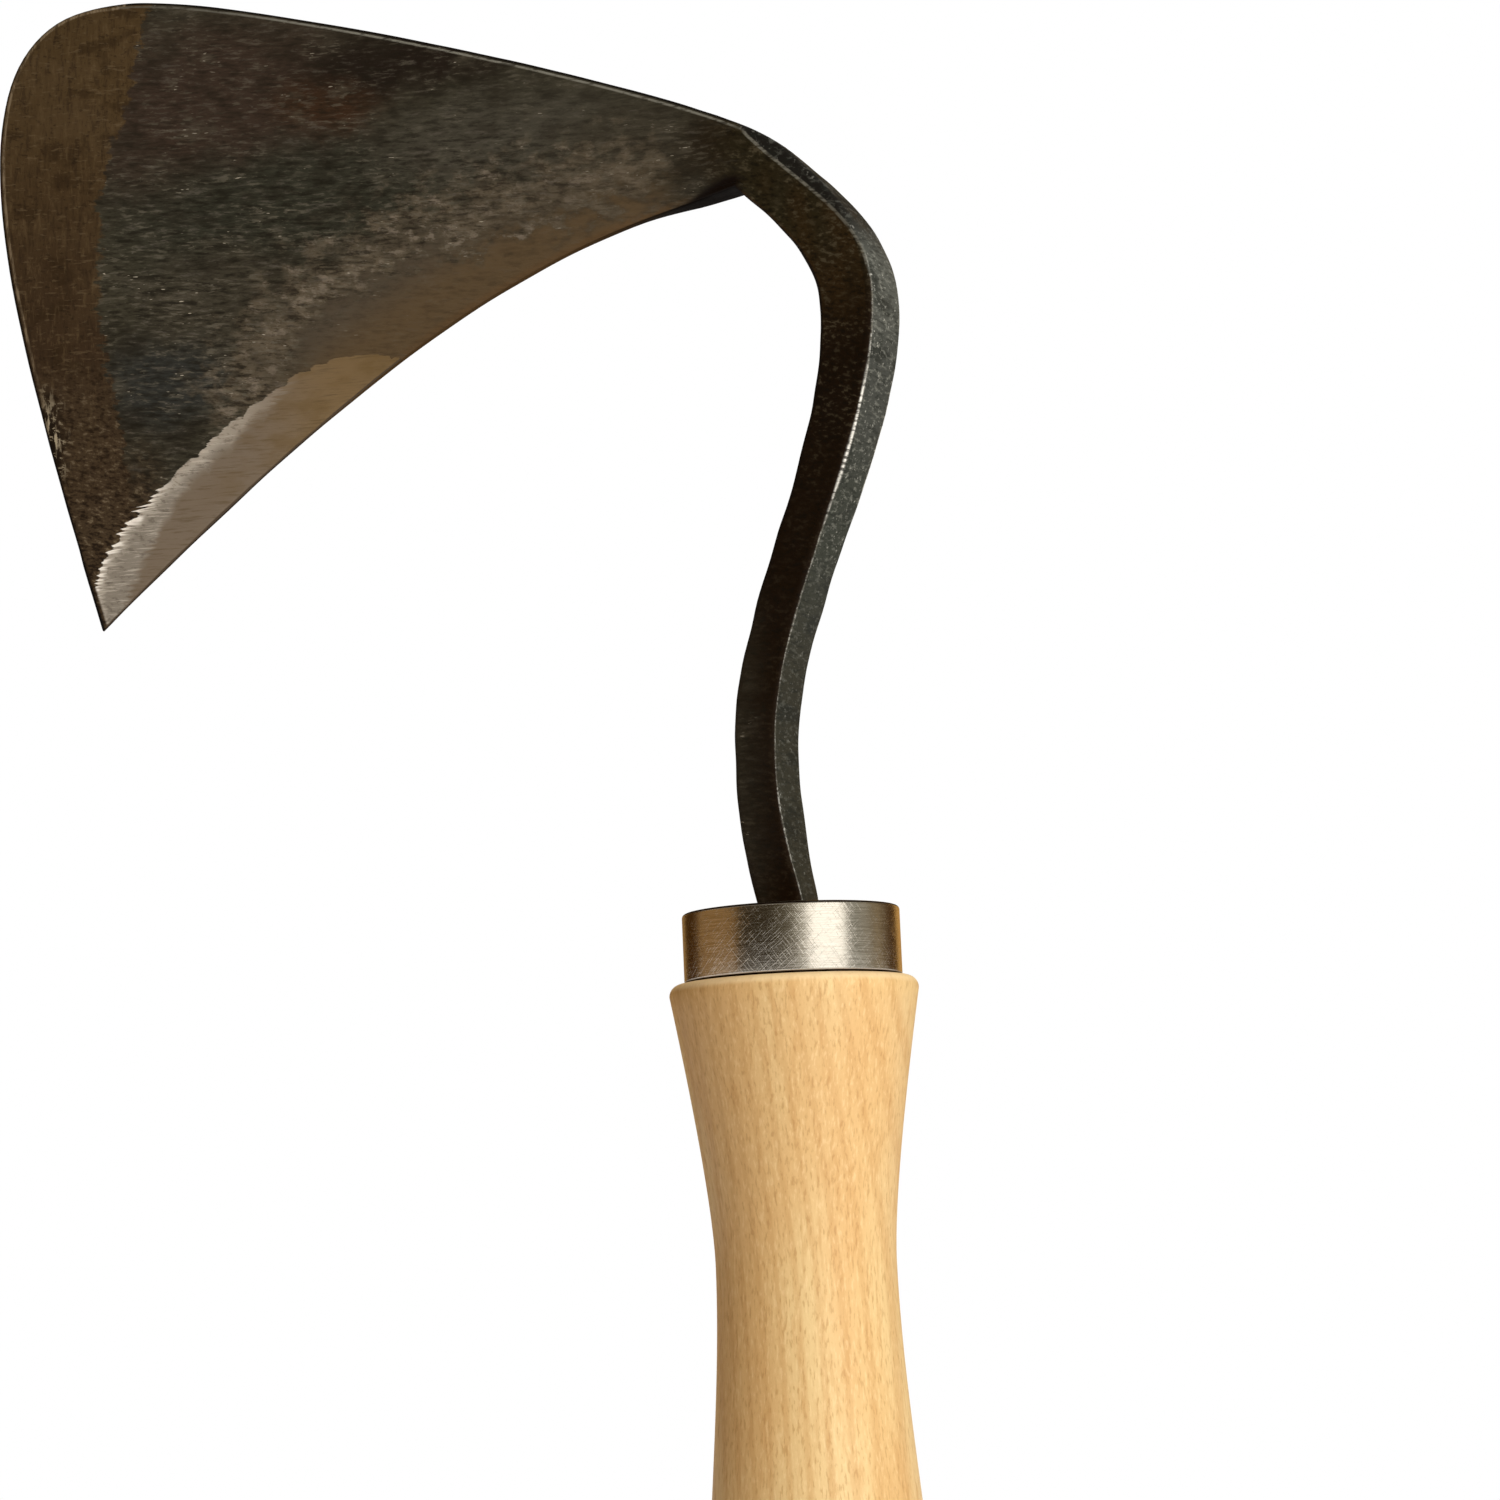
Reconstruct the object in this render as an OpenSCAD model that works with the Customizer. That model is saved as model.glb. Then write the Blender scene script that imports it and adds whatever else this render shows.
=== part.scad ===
// Homi: a forged hand hoe on a turned wooden handle.
// +Z runs up the handle to the blade, the blade reaches out to -X, and its hollow face looks to -Y.
// The origin is the middle of the grip, on the handle's axis.

/* [Handle] */
// Length of the wooden handle from its butt to the shoulder that carries the ferrule
handle_len = 130; // [120:1:150]
// Widest diameter of the collar, just under the ferrule
collar_d = 32; // [31:0.5:36]
// Height of the eased edge on top of the collar
collar_ease = 1.5; // [0.8:0.1:3]
// Diameter of the waist below the collar
waist_d = 23; // [20:0.5:26]
// Distance of the waist below the shoulder
waist_drop = 36; // [30:1:44]
// Diameter of the palm swell
swell_d = 29.5; // [27:0.5:34]
// Distance of the palm swell below the shoulder
swell_drop = 92; // [80:1:104]
// Diameter where the butt starts to round over
butt_d = 25; // [20:0.5:27]
// Height of the butt's rounding
butt_round = 6; // [3:0.5:9]
// Diameter of the flat on the end of the butt
butt_flat_d = 15; // [10:0.5:18]

/* [Ferrule] */
// Outer diameter of the steel ferrule
ferrule_d = 28; // [25:0.5:30]
// Height of the ferrule
ferrule_h = 9; // [7:0.5:14]
// Wall of the ferrule
ferrule_wall = 1.2; // [0.8:0.1:2]
// Rounding of the ferrule's outer rims
ferrule_rim = 0.5; // [0.2:0.1:0.7]
// Depth of the wooden tenon's end below the ferrule's upper rim
tenon_recess = 0.8; // [0.4:0.1:2]

/* [Tang] */
// Thickness of the square tang at the top of the handle
tang_top = 5.6; // [4.6:0.1:6]
// Thickness of the square tang at its clenched end
tang_end = 3.2; // [2.6:0.1:4]
// Length of the clenched end, from the handle's axis
clench_len = 9; // [7:0.5:9.5]
// Bend radius of the clenched end, on its centre line
clench_r = 2.6; // [2.4:0.1:3.4]
// Depth of the clenched end under the flat of the butt
clench_sink = 0.4; // [0.2:0.1:1]
// Clearance round the tang in the wood
tang_clear = 0.1; // [0.05:0.05:0.3]

/* [Neck] */
// Thickness of the square bar of the neck
neck_t = 6.6; // [6:0.1:7.5]
// Width of the bar where it bends over to the blade
bend_w = 8.4; // [7.5:0.1:9.5]
// Thickness of the bar where it bends over to the blade
bend_t = 7.8; // [6.5:0.1:8.5]
// Rounding of the bar's corners
neck_corner = 0.8; // [0.4:0.1:1.2]
// Turn of the bar about its own line, seen from above
neck_twist = 10; // [0:1:14]
// Sway of the neck toward the blade, low on the neck
low_sway = 2.4; // [0:0.1:5]
// Height of that sway above the ferrule
low_sway_h = 20; // [14:1:26]
// Sway of the neck away from the blade, high on the neck
high_sway = 13.5; // [8:0.1:18]
// Height of that sway above the ferrule
high_sway_h = 78; // [68:1:82]

/* [Blade] */
// Height of the crotch, where neck and lower edge meet, above the ferrule
crotch_h = 95.8; // [94:0.2:100]
// Reach of the crotch from the handle's axis
crotch_reach = 2.6; // [1:0.1:5]
// Width of the forging across the root, from crotch to spine
root_w = 8.2; // [6.5:0.1:9]
// Reach of the pointed tip from the handle's axis
tip_reach = 95.4; // [88:0.2:102]
// Height of the pointed tip above the ferrule
tip_h = 45; // [38:1:55]
// Reach of the spine's highest point from the handle's axis
peak_reach = 91; // [84:1:96]
// Height of the spine's highest point above the ferrule
peak_h = 134; // [126:1:142]
// Bulge of the round corner beyond the spine's highest point
corner_bulge = 33.5; // [24:1:37]
// Forward curl of the blade at its far side
blade_curl = 14; // [6:1:20]
// Thickness of the blade in its middle
blade_t = 2.4; // [1.8:0.1:3.2]
// Thickness of the blade at the root
root_t = 4.6; // [3.8:0.1:5.6]
// Thickness along the lower edge, before grinding
lower_t = 1.2; // [0.9:0.1:1.8]
// Thickness along the spine
spine_t = 1.7; // [1.2:0.1:1.8]
// Thickness along the far edge
far_edge_t = 0.9; // [0.6:0.1:1.2]
// Thickness of the ground cutting edge
cutting_t = 0.5; // [0.4:0.1:0.8]
// Rounding of the blade's edges
edge_round = 0.4; // [0.2:0.1:0.5]

/* [Hidden] */
$fn = 96;

shoulder_z = handle_len / 2;
butt_z = -handle_len / 2;
rim_z = shoulder_z + ferrule_h;
tenon_z = rim_z - tenon_recess;
bore_r = ferrule_d / 2 - ferrule_wall;
// Clearance between the ferrule's bore and the wooden tenon
tenon_clear = 0.02;
// Height above the waist at which the collar's straight flare would reach the waist's diameter
flare_foot = 9;
// Steps along each curve of the handle's profile
profile_steps = 10;
// Amount by which cutting shapes pass through a face
over = 1;

// Heights and reaches below are measured from the ferrule's upper rim and the handle's axis
crotch = [-crotch_reach, crotch_h];
root_dir = [cos(43), sin(43)];
root_top = crotch + root_w * root_dir;
root_mid = crotch + root_w / 2 * root_dir;
tip = [-tip_reach, tip_h];
peak = [-peak_reach, peak_h];
bend_start = [high_sway, high_sway_h];
// An edge leaves each of its ends along a lead, given as shares of its own reach and rise
function lead(from, to, reach, rise) = [(to[0] - from[0]) * reach, (to[1] - from[1]) * rise];
lower_edge = [crotch, crotch + lead(crotch, tip, 0.366, 0.047), tip + lead(tip, crotch, 0.317, 0.53), tip];
spine = [root_top, root_top + lead(root_top, peak, 0.132, 0.3), peak + lead(peak, root_top, 0.18, 0), peak];
far_edge = [tip, tip + [-0.079, 0.315] * (peak_h - tip_h),
            peak + [-corner_bulge, 0.034 * (peak_h - tip_h)], peak];
// The bend from the upright bar to the root
bend = [bend_start, bend_start + lead(bend_start, root_mid, -0.023, 0.388),
        root_mid + lead(root_mid, bend_start, 0.511, 0.315), root_mid];

tang_steps = 6;
neck_steps = 18;
bend_steps = 7;
blade_steps = 16;
// Rounding of the tang's corners
tang_corner = 0.4;
// Share of the blade over which the root thins out, and the share along its lower edge
root_run = 0.3;
crotch_run = 0.13;
// Points across each face of the forging, between the edge roundings
across = 12;
// Share of the width at which the ground bevel meets the face
bevel_share = 0.1;
// Share of the width over which the blade thins toward each edge
taper_share = 0.35;
// Share of the width between the spine and the first point of the face below it
spine_share = 0.06;
// Largest share of the thickness that an edge's rounding takes
round_share = 0.4;
// Distance of the first spot on a face from the end of the section, in roundings
spot_gap = 1.6;
// Share of the lower edge at which the ground bevel starts, and the share over which it deepens
bevel_from = 0.48;
bevel_run = 0.14;
// Share of the blade at which the far band starts to fall away
band_from = 0.875;
// Height over which the bar takes up its twist, and over which its slope is taken
twist_h = 14;
slope_h = 1;
// Reach from the handle's axis at which the curl starts, and reach of the far edge past the tip
curl_reach = 5;
far_bulge = 14;
// Set-back of the lower edge beside the crotch, and how far along the blade it reaches
crotch_fold = 1.2;
fold_run = 0.14;

function ease(t) = let (s = min(1, max(0, t))) s * s * (3 - 2 * s);
function mix(a, b, t) = a + (b - a) * t;
function bez(p, t) = p[0] * pow(1 - t, 3) + p[1] * 3 * t * pow(1 - t, 2)
                   + p[2] * 3 * t * t * (1 - t) + p[3] * pow(t, 3);
function bez2(p, t) = p[0] * pow(1 - t, 2) + p[1] * 2 * t * (1 - t) + p[2] * t * t;
function unit(v) = v / norm(v);

// A station sets one cross section of the forging. It holds the section's lower and upper end in
// the XZ plane, its twist, its thickness low, in the middle and high, the rounding of its corners,
// and its share of the way along the blade, which is -1 on the tang and the neck.
LOW_END = 0;
HIGH_END = 1;
TWIST = 2;
LOW_T = 3;
MID_T = 4;
HIGH_T = 5;
CORNER = 6;
SHARE = 7;
function bar_station(centre, along, w, t, turn, r) =
    let (up = unit([along[1], -along[0]]))
    [centre - up * w / 2, centre + up * w / 2, turn, t, t, t, r, -1];
function width(st) = norm(st[HIGH_END] - st[LOW_END]);

// Clenched end and tang
clench_z = butt_z - rim_z + clench_sink + tang_end / 2;
clench_turn_z = clench_z + clench_r;
tang_top_z = -tenon_recess;
tang_stations = concat(
    [for (x = [clench_len, mix(clench_len, clench_r, 0.5)])
        bar_station([x, clench_z], [-1, 0], tang_end, tang_end, 0, tang_corner)],
    [for (a = [0:22.5:90])
        bar_station([clench_r * (1 - sin(a)), clench_turn_z - clench_r * cos(a)],
                    [-cos(a), sin(a)], tang_end, tang_end, 0, tang_corner)],
    [for (i = [1:tang_steps])
        let (s = i / tang_steps, t = mix(tang_end, tang_top, s))
        bar_station([0, mix(clench_turn_z, tang_top_z, s)], [0, 1], t, t, 0, tang_corner)]);

// Centre line of the neck at a height above the ferrule
function neck_x(h) =
    h < low_sway_h ? -low_sway * (1 - pow(1 - h / low_sway_h, 2))
                   : mix(-low_sway, high_sway, ease((h - low_sway_h) / (high_sway_h - low_sway_h)));
// The bar thickens from half way up the neck to just past its bend
function thickening(h) = ease((h - high_sway_h / 2) / (high_sway_h * 0.6));
neck_stations = [for (i = [0:neck_steps - 1])
    let (h = high_sway_h * i / neck_steps, s = thickening(h))
    bar_station([neck_x(h), h], [neck_x(h + slope_h / 2) - neck_x(max(0, h - slope_h / 2)), slope_h],
                mix(neck_t, bend_w, s), mix(neck_t, bend_t, s),
                neck_twist * ease(h / twist_h), neck_corner)];
bend_stations = [for (i = [0:bend_steps - 1])
    let (s = i / bend_steps, c = bez(bend, s), d = bez(bend, s + 0.02) - c)
    bar_station(c, d, mix(bend_w, root_w, pow(s, 3)), mix(bend_t, root_t, ease(s)),
                neck_twist * (1 - ease(s)), mix(neck_corner, edge_round, ease(s)))];

// Blade, from the root to the far edge
blade_shares = concat([for (i = [0:blade_steps - 1]) i / blade_steps], [0.97, 1]);
blade_stations = [for (u = blade_shares)
    let (s = ease(u / root_run))
    [bez(lower_edge, u), bez(spine, u), 0,
     mix(root_t, lower_t, ease(u / crotch_run)), mix(root_t, blade_t, s), mix(root_t, spine_t, s),
     edge_round, u]];

stations = concat(tang_stations, neck_stations, bend_stations, blade_stations);

// Thickness of a forged section at a share of its width, before grinding
function forged_t(st, v) =
    v < 0.5 ? mix(st[LOW_T], st[MID_T], ease(v / taper_share))
            : mix(st[HIGH_T], st[MID_T], ease((1 - v) / taper_share));
// What the hollow face loses to the ground bevel, and then to the far band
function bevel_cut(st, v) =
    (forged_t(st, v) - cutting_t) * max(0, 1 - v / bevel_share) * ease((st[SHARE] - bevel_from) / bevel_run);
function band_cut(st, v) =
    max(0, forged_t(st, v) - bevel_cut(st, v) - far_edge_t)
    * max(0, (st[SHARE] - band_from) / (1 - band_from));
function final_t(st, v) = forged_t(st, v) - bevel_cut(st, v) - band_cut(st, v);

// The far sections bow out to the far edge
function bow(st, v) =
    st[SHARE] <= 0 ? [0, 0] : pow(st[SHARE], 2) * (bez(far_edge, v) - mix(tip, peak, v));
// The blade curls forward from the root on
function curl(st, x) =
    st[SHARE] <= 0 ? 0 : -blade_curl * pow(max(0, -x - curl_reach) / (tip_reach + far_bulge - curl_reach), 2);
// Its lower edge is set back beside the crotch
function fold(st, v) =
    st[SHARE] < 0 ? 0 : crotch_fold * max(0, 1 - 2 * v) * sin(180 * min(1, st[SHARE] / fold_run));

// Spots across a section, each with its distance from the lower end and its depth under the face
function rounded(r) = [[0, r], [0.3 * r, 0.3 * r], [r, 0]];
function section_spots(st) =
    let (w = width(st),
         low_r = min(st[CORNER], final_t(st, 0) * round_share),
         high_r = min(st[CORNER], final_t(st, 1) * round_share),
         first = max(bevel_share * w, low_r * spot_gap),
         last = w - max(spine_share * w, high_r * spot_gap))
    concat(rounded(low_r),
           [for (k = [0:across - 1]) [mix(first, last, k / (across - 1)), 0]],
           [for (k = [2:-1:0]) [w - rounded(high_r)[k][0], rounded(high_r)[k][1]]]);
// A point of the hollow face, side -1, or of the other face, side 1
function section_point(st, spot, side) =
    let (v = spot[0] / width(st), t = forged_t(st, v),
         q = side < 0 ? t / 2 - final_t(st, v) + spot[1] : t / 2 - spot[1],
         p = spot[0] - width(st) / 2,
         turn = st[TWIST],
         middle = (st[LOW_END] + st[HIGH_END]) / 2,
         flat = middle + unit(st[HIGH_END] - st[LOW_END]) * (p * cos(turn) + q * sin(turn)) + bow(st, v))
    [flat[0], q * cos(turn) - p * sin(turn) + curl(st, flat[0]) + fold(st, v), flat[1]];
function section(st) =
    let (spots = section_spots(st), n = len(spots))
    concat([for (k = [0:n - 1]) section_point(st, spots[k], -1)],
           [for (k = [n - 1:-1:0]) section_point(st, spots[k], 1)]);

// Skin over a row of cross sections that all have the same number of points
module skin(rings) {
    n = len(rings[0]);
    m = len(rings);
    sides = [for (j = [0:m - 2], k = [0:n - 1])
        let (a = j * n + k, b = j * n + (k + 1) % n, c = a + n, d = b + n)
        each [[a, c, b], [b, c, d]]];
    first = [for (k = [0:n / 2 - 2]) each [[k, k + 1, n - 1 - k], [k + 1, n - 2 - k, n - 1 - k]]];
    last = [for (f = first) [for (i = [2:-1:0]) (m - 1) * n + f[i]]];
    polyhedron(points = [for (r = rings, p = r) p], faces = concat(sides, first, last), convexity = 8);
}

module forged_head() {
    color("#3a352c")
        translate([0, 0, rim_z])
            skin([for (st = stations) section(st)]);
}

module ferrule() {
    outer = ferrule_d / 2;
    color("#b8b4aa")
        rotate_extrude()
            polygon([
                [bore_r, shoulder_z], [outer - ferrule_rim, shoulder_z],
                for (a = [30:30:90])
                    [outer - ferrule_rim * (1 - sin(a)), shoulder_z + ferrule_rim * (1 - cos(a))],
                for (a = [0:30:90])
                    [outer - ferrule_rim * (1 - cos(a)), rim_z - ferrule_rim * (1 - sin(a))],
                [bore_r, rim_z]]);
}

// Turned profile of the handle, from the tenon's end down to the butt
waist_z = shoulder_z - waist_drop;
swell_z = shoulder_z - swell_drop;
collar_z = shoulder_z - collar_ease;
round_z = butt_z + butt_round;
handle_profile = concat(
    [[0, tenon_z], [bore_r - tenon_clear, tenon_z], [bore_r - tenon_clear, shoulder_z],
     [collar_d / 2 - collar_ease, shoulder_z]],
    [for (a = [30:30:60])
        [collar_d / 2 - collar_ease * (1 - sin(a)), shoulder_z - collar_ease * (1 - cos(a))]],
    [for (i = [0:profile_steps])
        bez2([[collar_d / 2, collar_z], [waist_d / 2, waist_z + flare_foot], [waist_d / 2, waist_z]],
             i / profile_steps)],
    [for (i = [1:profile_steps])
        let (s = i / profile_steps) [mix(waist_d, swell_d, ease(s)) / 2, mix(waist_z, swell_z, s)]],
    [for (i = [1:profile_steps])
        let (s = i / profile_steps) [mix(swell_d, butt_d, s * s) / 2, mix(swell_z, round_z, s)]],
    [for (i = [1:6])
        let (a = 15 * i)
        [mix(butt_d, butt_flat_d, 1 - cos(a)) / 2, mix(round_z, butt_z, sin(a))]],
    [[0, butt_z]]);

module handle() {
    hole_top = tang_top + 2 * tang_clear;
    hole_end = tang_end + 2 * tang_clear;
    color("#dcb582")
        difference() {
            rotate_extrude()
                polygon(handle_profile);
            translate([0, 0, butt_z - over])
                linear_extrude(height = tenon_z - butt_z + 2 * over, scale = hole_top / hole_end)
                    square(hole_end, center = true);
            translate([-hole_end / 2, -hole_end / 2, butt_z - over])
                cube([clench_len + hole_end / 2 + tang_clear, hole_end,
                      over + clench_sink + tang_end + tang_clear]);
        }
}

forged_head();
ferrule();
handle();
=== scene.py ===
import math

import bmesh
import bpy
import numpy as np
from mathutils import Matrix, Vector, noise


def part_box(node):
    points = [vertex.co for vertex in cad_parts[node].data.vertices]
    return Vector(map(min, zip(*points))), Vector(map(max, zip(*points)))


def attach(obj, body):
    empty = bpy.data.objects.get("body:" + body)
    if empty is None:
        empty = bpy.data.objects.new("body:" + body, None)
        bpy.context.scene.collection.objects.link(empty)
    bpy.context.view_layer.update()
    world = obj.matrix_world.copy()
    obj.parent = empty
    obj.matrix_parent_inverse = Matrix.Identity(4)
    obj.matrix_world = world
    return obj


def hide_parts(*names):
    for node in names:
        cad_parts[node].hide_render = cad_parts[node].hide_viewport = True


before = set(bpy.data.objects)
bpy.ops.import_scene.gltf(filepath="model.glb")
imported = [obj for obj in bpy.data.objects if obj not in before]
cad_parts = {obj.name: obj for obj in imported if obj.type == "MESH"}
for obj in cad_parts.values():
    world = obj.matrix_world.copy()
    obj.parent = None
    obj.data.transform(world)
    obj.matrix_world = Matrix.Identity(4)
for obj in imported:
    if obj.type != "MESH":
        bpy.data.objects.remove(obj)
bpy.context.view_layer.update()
scene = bpy.context.scene
scene.view_settings.view_transform = "Standard"

MM = 0.001
# Turned pieces have more facets than the solids they stand for, and are this much slimmer to stay inside them
HAIR = 0.999
# Edges that turn more than this are shaded sharp
SHARP = math.radians(30)

# Sizes of the turned and rolled pieces, in millimetres, as in the part's source
SHOULDER_Z = 65.0
BUTT_Z = -65.0
FERRULE_R = 14.0
FERRULE_TOP = 74.0
FERRULE_WALL = 1.2
FERRULE_RIM = 0.5
FERRULE_BREAK = 0.2
TENON_TOP = 73.2
TENON_CLEAR = 0.02
TENON_BREAK = 0.4
COLLAR_R = 16.0
COLLAR_EASE = 1.5
WAIST_R = 11.5
WAIST_Z = 29.0
FLARE_FOOT = 9.0
SWELL_R = 14.75
SWELL_Z = -27.0
BUTT_R = 12.5
BUTT_ROUND = 6.0
BUTT_FLAT_R = 7.5
TANG_TOP = 5.6
TANG_END = 3.2
TANG_CLEAR = 0.1
CLENCH_LEN = 9.0
CLENCH_SINK = 0.4
# Width of the hole and the groove at the butt, and how far the cuts pass the handle's ends
HOLE_END = TANG_END + 2 * TANG_CLEAR
CUT_OVER = 1.0

# Outline of the blade in the XZ plane, in millimetres from the axis and the ferrule's upper rim
CROTCH = Vector((-2.6, 95.8))
ROOT_TOP = Vector((3.4, 101.4))
TIP = Vector((-95.4, 45.0))
PEAK = Vector((-91.0, 134.0))
LOWER_EDGE = (CROTCH, CROTCH + Vector((-34, -2.4)), TIP + Vector((29.4, 27)), TIP)
SPINE = (ROOT_TOP, ROOT_TOP + Vector((-12.5, 9.8)), PEAK + Vector((17, 0)), PEAK)
FAR_EDGE = (TIP, TIP + Vector((-7, 28)), PEAK + Vector((-33.5, 3)), PEAK)


# Helpers

def linear(code):
    """Linear colour of an sRGB hex value."""
    parts = [int(code[i:i + 2], 16) / 255 for i in (1, 3, 5)]
    return (*[c / 12.92 if c <= 0.04045 else ((c + 0.055) / 1.055) ** 2.4 for c in parts], 1.0)


def add(tree, kind, inputs=(), out=0, **settings):
    """Adds a node with its settings and its inputs, each a value or another node's output."""
    node = tree.nodes.new("ShaderNode" + kind)
    for name, value in settings.items():
        setattr(node, name, value)
    for name, value in dict(inputs).items():
        if isinstance(value, bpy.types.NodeSocket):
            tree.links.new(value, node.inputs[name])
        else:
            node.inputs[name].default_value = value
    return node.outputs[out] if node.outputs else node


def new_material(name):
    """An empty node material, with its tree and a vector in millimetres that follows the piece."""
    material = bpy.data.materials.new(name)
    material.use_nodes = True
    tree = material.node_tree
    tree.nodes.clear()
    place = add(tree, "TexCoord", out="Object")
    place = add(tree, "VectorMath", {0: place, "Scale": 1 / MM}, operation="SCALE")
    return material, tree, place


def finish_material(tree, shader):
    """Leads a shader to the material's output."""
    add(tree, "OutputMaterial", {"Surface": shader})


def spots(tree, place, size, seed, detail=3.0, harshness=0.55, turn=(0.0, 0.0, 0.0), out=0):
    """Noise from 0 to 1, whose blotches have a size in millimetres along each axis and a turn in radians."""
    apart = 9
    spread = add(tree, "Mapping", {"Vector": place, "Location": [seed * s * apart for s in size],
                                   "Rotation": turn, "Scale": size}, vector_type="TEXTURE")
    return add(tree, "TexNoise", {"Vector": spread, "Scale": 1.0, "Detail": detail, "Roughness": harshness},
               out=out)


def ramp(tree, value, low, high, bottom=0.0, top=1.0):
    """Smooth step of a value from bottom to top between low and high."""
    return add(tree, "MapRange", {0: value, 1: low, 2: high, 3: bottom, 4: top},
               interpolation_type="SMOOTHSTEP")


def chained(tree, operation, values):
    """One value from several, taken in one after another."""
    made = values[0]
    for value in values[1:]:
        made = add(tree, "Math", {0: made, 1: value}, operation=operation)
    return made


def both(tree, *masks):
    """Product of masks."""
    return chained(tree, "MULTIPLY", masks)


def either(tree, *masks):
    """Largest of masks."""
    return chained(tree, "MAXIMUM", masks)


def total(tree, *values):
    """Sum of values."""
    return chained(tree, "ADD", values)


def minus(tree, value, taken):
    """One value less another."""
    return chained(tree, "SUBTRACT", (value, taken))


def paint(tree, under, over, mask):
    """Lays one colour over another where the mask is 1. Each is a hex value or a node's output."""
    under, over = [linear(colour) if isinstance(colour, str) else colour for colour in (under, over)]
    return add(tree, "Mix", {0: mask, 6: under, 7: over}, out=2, data_type="RGBA")


def seen_directly(tree):
    """1 for what the camera sees, also in a reflection or through glass, and 0 for diffuse light."""
    return either(tree, *[add(tree, "LightPath", out=name)
                          for name in ("Is Camera Ray", "Is Glossy Ray", "Is Transmission Ray")])


def new_piece(name, mesh, material, slot, *nodes):
    """Links a finished mesh as a piece that rides on the tool and stands for its CAD nodes."""
    piece = bpy.data.objects.new(name, mesh)
    scene.collection.objects.link(piece)
    mesh.materials.clear()
    mesh.materials.append(material)
    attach(piece, "root")
    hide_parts(*nodes)


def smooth_mesh(bm, name):
    """Mesh of a bmesh, shaded smooth except over its sharp edges."""
    for face in bm.faces:
        face.smooth = True
    for edge in bm.edges:
        edge.smooth = len(edge.link_faces) != 2 or edge.calc_face_angle(0) < SHARP
    mesh = bpy.data.meshes.new(name)
    bm.to_mesh(mesh)
    bm.free()
    return mesh


def applied(obj, name):
    """Mesh of an object with its modifiers applied. The object itself goes."""
    bpy.context.view_layer.update()
    shaped = obj.evaluated_get(bpy.context.evaluated_depsgraph_get())
    mesh = bpy.data.meshes.new_from_object(shaped)
    mesh.name = name
    bpy.data.objects.remove(obj)
    return mesh


def spun(profile, steps):
    """A bmesh turned round the Z axis from a profile of (radius, height) in millimetres, a hair slimmer."""
    bm = bmesh.new()
    verts = [bm.verts.new((r * MM * HAIR, 0, z * MM)) for r, z in profile]
    edges = [bm.edges.new(pair) for pair in zip(verts, verts[1:])]
    bmesh.ops.spin(bm, geom=verts + edges, cent=(0, 0, 0), axis=(0, 0, 1), angle=math.tau,
                   steps=steps, use_merge=True)
    bmesh.ops.remove_doubles(bm, verts=bm.verts, dist=MM / 1000)
    bmesh.ops.recalc_face_normals(bm, faces=bm.faces)
    return bm


def ease(t):
    """Smooth step between 0 and 1."""
    t = min(1.0, max(0.0, t))
    return t * t * (3 - 2 * t)


def bezier(p, t):
    """Point of a cubic curve with four control points, at a share of it."""
    return p[0] * (1 - t) ** 3 + p[1] * 3 * t * (1 - t) ** 2 + p[2] * 3 * t * t * (1 - t) + p[3] * t ** 3


def arc(centre_r, centre_z, radius, start, stop, count):
    """Points of a rounded edge in a profile, from one angle in degrees to another."""
    angles = [math.radians(start + (stop - start) * i / count) for i in range(count + 1)]
    return [(centre_r + radius * math.cos(a), centre_z + radius * math.sin(a)) for a in angles]


# Forged head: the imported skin, subdivided and hammered

def distance_to(curve, points, samples=400):
    """Distance of each point to a curve, and how far along the curve its nearest point is, in millimetres."""
    line = np.array([bezier(curve, i / (samples - 1)) for i in range(samples)])
    run = np.concatenate([[0], np.cumsum(np.linalg.norm(np.diff(line, axis=0), axis=1))])
    near, along = np.full(len(points), 1e9), np.zeros(len(points))
    for spot, length in zip(line, run):
        d = np.linalg.norm(points - spot, axis=1)
        closer = d < near
        near[closer], along[closer] = d[closer], length
    return near, along


def outside(curve, points, samples=200):
    """How far each point lies outside a curve that runs to the right and down, in millimetres."""
    line = np.array([bezier(curve, i / (samples - 1)) for i in range(samples)])
    way = np.gradient(line, axis=0)
    apart = points[:, None, :] - line[None, :, :]
    near = np.argmin((apart ** 2).sum(axis=2), axis=1)
    rows = np.arange(len(points))
    apart, way = apart[rows, near], way[near]
    side = np.sign(way[:, 0] * apart[:, 1] - way[:, 1] * apart[:, 0])
    return side * np.linalg.norm(apart, axis=1)


def ground_width(along, whole):
    """Width of the ground bevel so far along the lower edge from the crotch. It narrows again at the tip."""
    start, run, tip_run, past_tip, widest, none = 52.4, 6.5, 4.6, 0.2, 8.2, -4.0
    if along <= start:
        return none
    opening = 1 - math.exp((start - along) / run)
    closing = 1 - math.exp((along - whole - past_tip) / tip_run)
    return widest * opening * closing


# Middle line of the drift of flaky scale that crosses the hollow face
DRIFT = (Vector((-71, 78)), Vector((-62, 92)), Vector((-46, 96.4)), Vector((-20, 98.2)))
# Line of the bend's painted arris highlight, a little inside its outer corner
ARRIS = (Vector((-1.0, 103.2)), Vector((5.2, 95.9)), Vector((15.8, 88.9)), Vector((16.3, 81.3)))
# Border of the hammered band, as (height over the ferrule, reach)
BAND_BORDER = ((45, -90.0), (63, -90.7), (75, -92.3), (90, -95.0), (109, -93.8), (118, -90.2), (134, -86.6))
# Corners that stay crisp when the skin is subdivided, and how near the tip and the crotch all edges do
CRISP_ANGLE = math.radians(55)
CRISPNESS = 0.8
POINT_REACH = 0.9
# Depth of the hammer's broad dents and of its ripples
BLADE_DENT = 0.10
NECK_DENT = 0.12
NECK_RIPPLE = 0.16
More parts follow.
